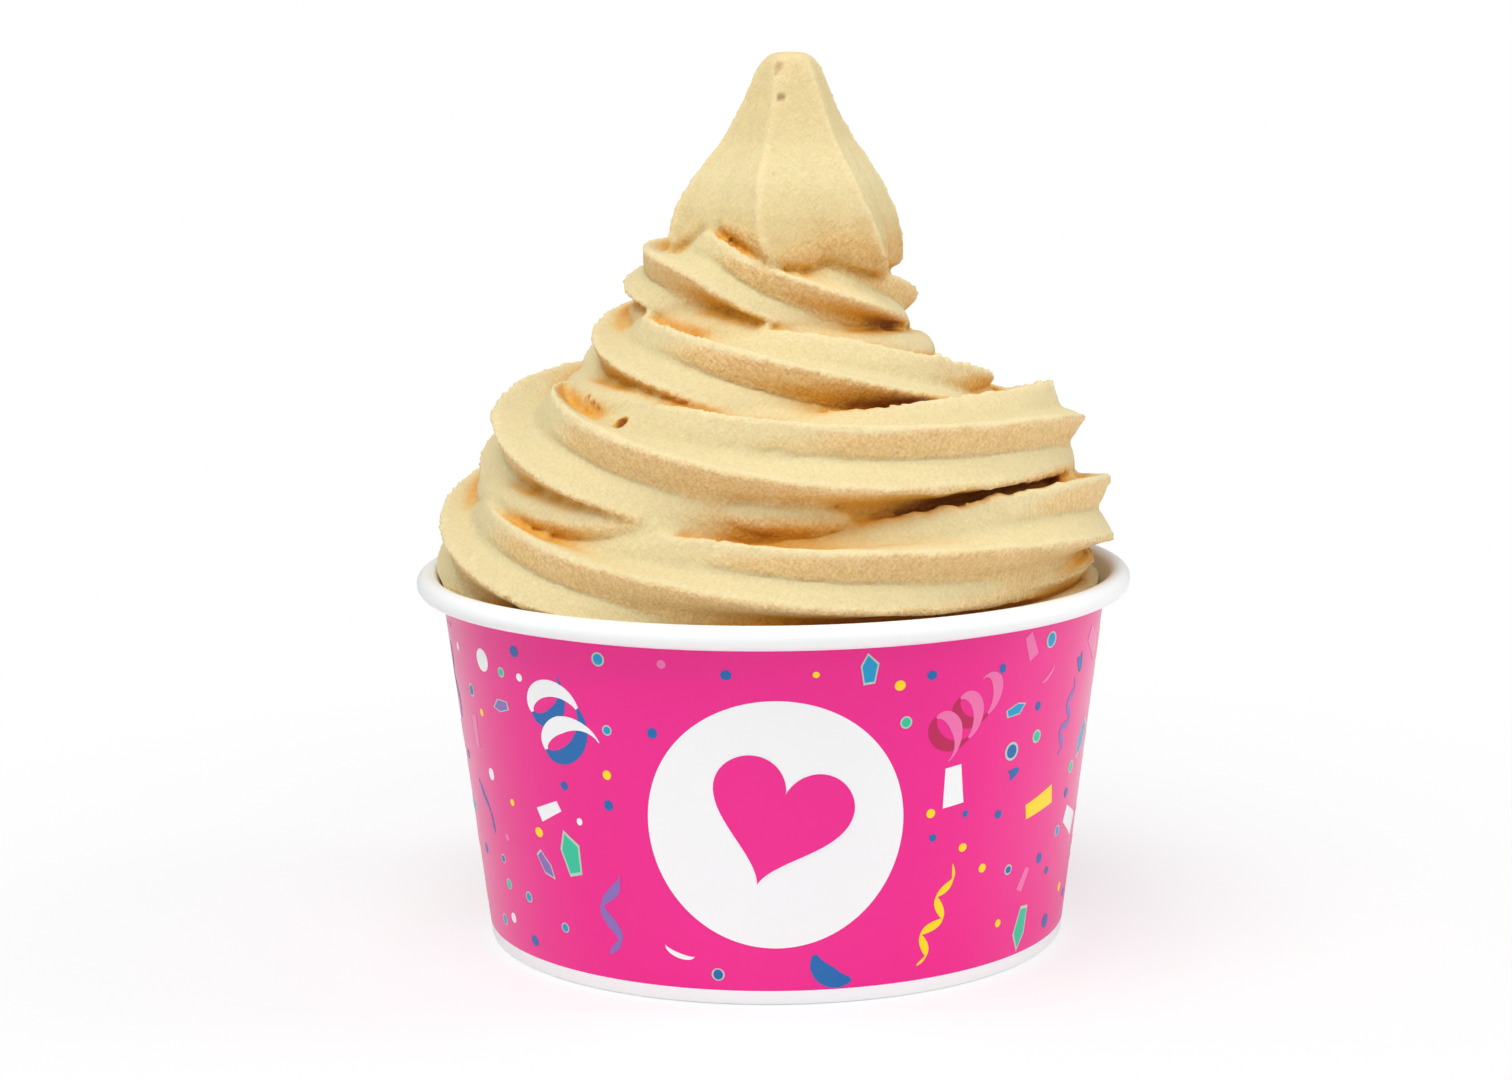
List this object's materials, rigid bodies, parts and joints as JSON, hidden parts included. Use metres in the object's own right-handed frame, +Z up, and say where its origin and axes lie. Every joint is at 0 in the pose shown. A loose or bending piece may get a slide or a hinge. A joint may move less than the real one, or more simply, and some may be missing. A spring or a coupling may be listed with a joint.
{
  "type": "frozen yogurt cup",
  "caption": "Tapered paper cup with a rolled rim, heaped with a fluted soft-served frozen yogurt swirl that ends in a peak.",
  "frame": {"origin": "middle of the face the cup stands on", "axes": "+Z up along the cup's axis, the front with the round field of the print faces -Y, +X to the right of the front"},
  "size_m": [0.112, 0.112, 0.1376],
  "materials": {
    "printed_paper": "glossy printed paper, white at the rim and foot",
    "white_paper": "plain coated white paper",
    "yogurt": "soft, finely grained frozen yogurt"
  },
  "bodies": {
    "root": {"cup_wall": "printed_paper", "cup_bottom": "white_paper", "frozen_yogurt": "yogurt"}
  },
  "joints": []
}
